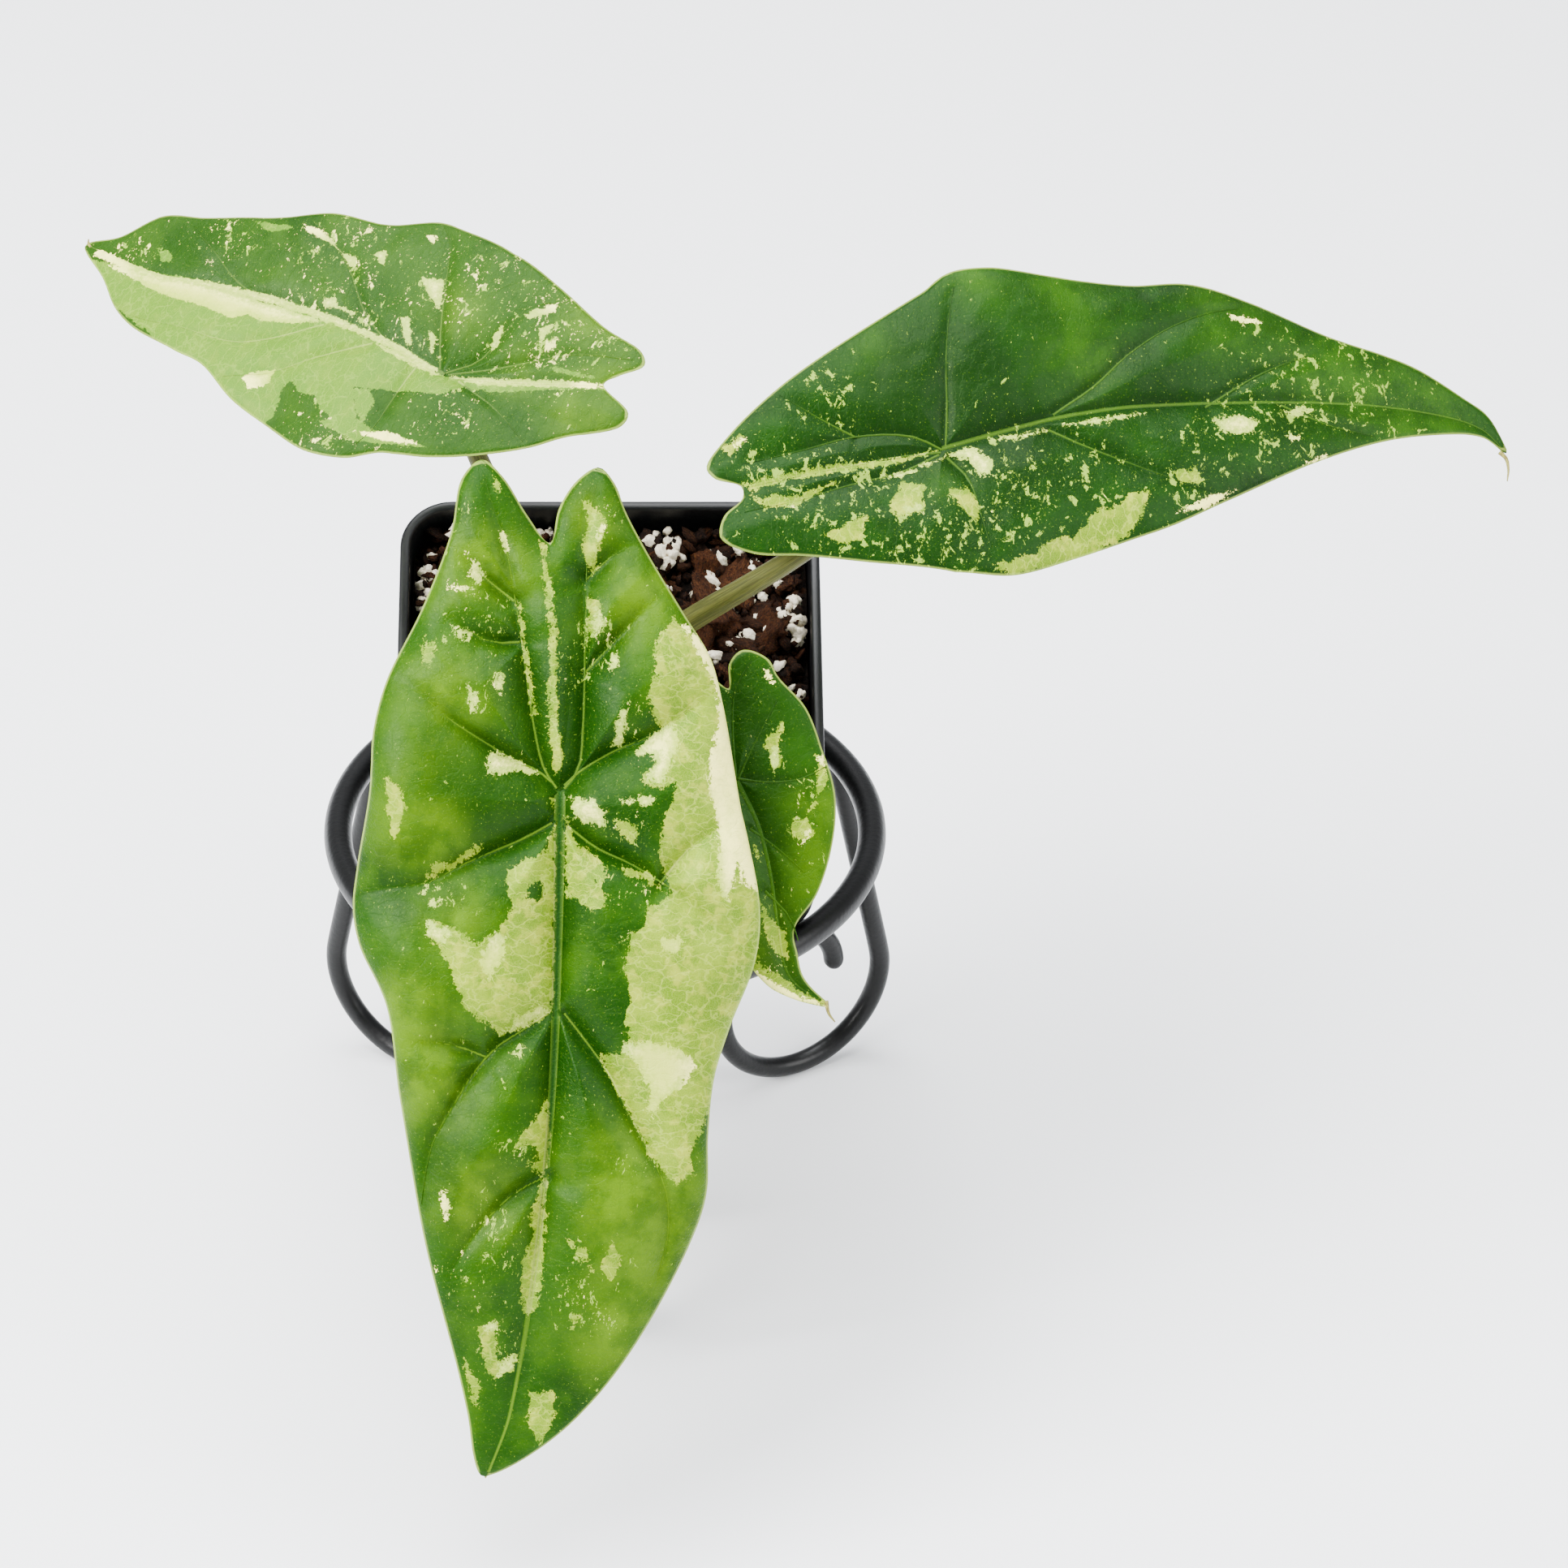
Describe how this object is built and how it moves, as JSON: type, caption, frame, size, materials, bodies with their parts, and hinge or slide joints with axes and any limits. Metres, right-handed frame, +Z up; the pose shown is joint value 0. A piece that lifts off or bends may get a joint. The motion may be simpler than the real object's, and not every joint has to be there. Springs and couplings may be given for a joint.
{
  "type": "potted variegated simpo alocasia",
  "caption": "Variegated alocasia with glossy arrow-shaped leaves on slim stalks, in a square nursery pot of bark and perlite that leans in a round wire stand with scrolled legs.",
  "frame": {"origin": "middle of the bounding box in plan, on the surface that the stand's feet rest on", "axes": "+Z up; +X along the longest extent, from the tip of the left leaf to the tip of the right leaf; -Y towards the side that the front leaf faces"},
  "size_m": [0.2972, 0.2026, 0.2254],
  "materials": {
    "stand_coating": "satin black powder coat on steel rod",
    "pot_plastic": "black moulded polypropylene, semi-matte",
    "bark_mix": "moist bark chips and coir with white perlite",
    "stem_skin": "waxy olive stem",
    "stalk_skin": "waxy olive leaf stalk",
    "leaf_front_skin": "glossy waxy leaf, green with cream and pale green sectors",
    "leaf_left_skin": "glossy waxy leaf, half green and half pale green and cream",
    "leaf_right_skin": "glossy waxy leaf, dark green with cream flecks",
    "leaf_small_skin": "glossy waxy leaf, green with cream flecks and a cream edge"
  },
  "bodies": {
    "root": {"stand_ring": "stand_coating", "stand_leg_right": "stand_coating", "stand_leg_left": "stand_coating", "stand_leg_front": "stand_coating", "pot": "pot_plastic", "soil": "bark_mix", "stem": "stem_skin", "leaf_front": "leaf_front_skin", "leaf_left": "leaf_left_skin", "leaf_right": "leaf_right_skin", "leaf_small": "leaf_small_skin", "stalk_front": "stalk_skin", "stalk_left": "stalk_skin", "stalk_right": "stalk_skin", "stalk_small": "stalk_skin"}
  },
  "joints": []
}
